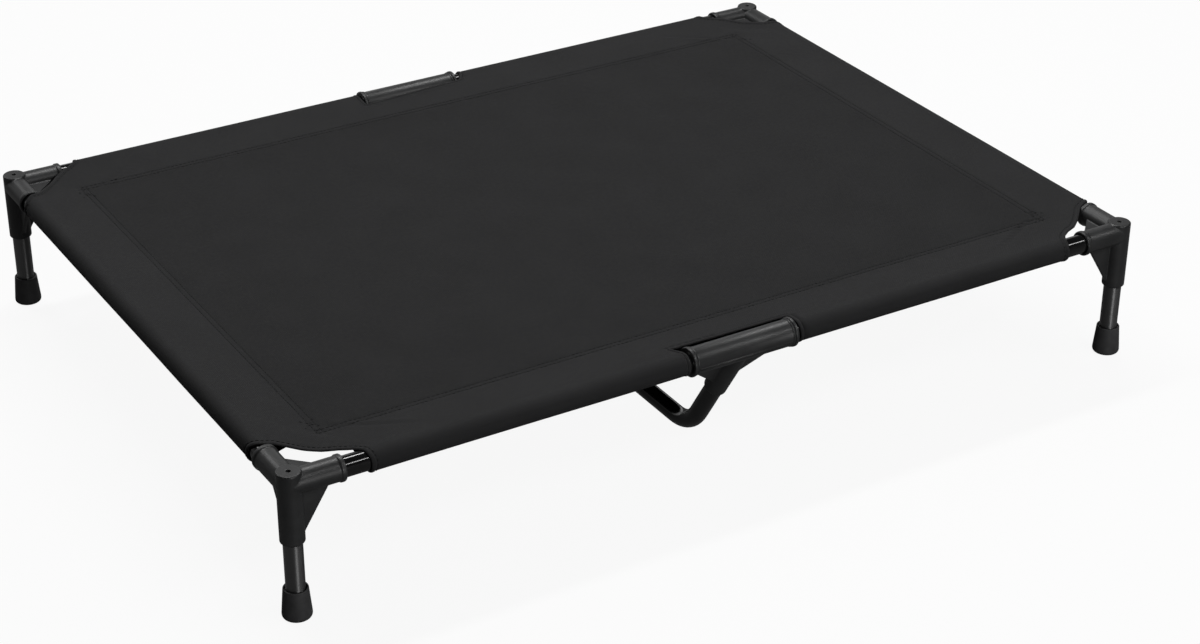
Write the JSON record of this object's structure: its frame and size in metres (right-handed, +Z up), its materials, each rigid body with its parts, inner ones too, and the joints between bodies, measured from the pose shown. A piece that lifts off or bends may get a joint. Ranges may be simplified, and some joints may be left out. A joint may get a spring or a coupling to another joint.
{
  "type": "raised dog cot",
  "caption": "Raised pet cot: a push-together steel tube frame on short legs with rubber feet, moulded corner and centre connectors, a cross brace and a stretched cloth sling.",
  "frame": {"origin": "on the floor, under the middle of the cot", "axes": "+X along the long side, +Y from the front long side to the rear one, +Z up"},
  "size_m": [0.8762, 0.6478, 0.1397],
  "materials": {
    "connector_plastic": "black moulded plastic, satin",
    "coated_tube": "black powder-coated steel, semi-gloss",
    "foot_rubber": "black rubber, matte",
    "sling_cloth": "black plain-weave cloth, dull sheen"
  },
  "bodies": {
    "frame": {"corner_front_left": "connector_plastic", "corner_front_right": "connector_plastic", "corner_rear_left": "connector_plastic", "corner_rear_right": "connector_plastic", "front_rail_left": "coated_tube", "front_rail_right": "coated_tube", "rear_rail_left": "coated_tube", "rear_rail_right": "coated_tube", "left_end_rail": "coated_tube", "right_end_rail": "coated_tube", "front_centre_connector": "connector_plastic", "rear_centre_connector": "connector_plastic", "brace_bar": "coated_tube", "sling": "sling_cloth"},
    "front_left_leg": {"leg_front_left": "coated_tube", "foot_front_left": "foot_rubber"},
    "front_right_leg": {"leg_front_right": "coated_tube", "foot_front_right": "foot_rubber"},
    "rear_left_leg": {"leg_rear_left": "coated_tube", "foot_rear_left": "foot_rubber"},
    "rear_right_leg": {"leg_rear_right": "coated_tube", "foot_rear_right": "foot_rubber"}
  },
  "joints": [
    {"name": "front_left_leg_pull", "type": "slide", "parent": "frame", "child": "front_left_leg", "axis": [0, 0, -1], "range_m": [0, 0.068]},
    {"name": "front_right_leg_pull", "type": "slide", "parent": "frame", "child": "front_right_leg", "axis": [0, 0, -1], "range_m": [0, 0.068]},
    {"name": "rear_left_leg_pull", "type": "slide", "parent": "frame", "child": "rear_left_leg", "axis": [0, 0, -1], "range_m": [0, 0.068]},
    {"name": "rear_right_leg_pull", "type": "slide", "parent": "frame", "child": "rear_right_leg", "axis": [0, 0, -1], "range_m": [0, 0.068]}
  ]
}
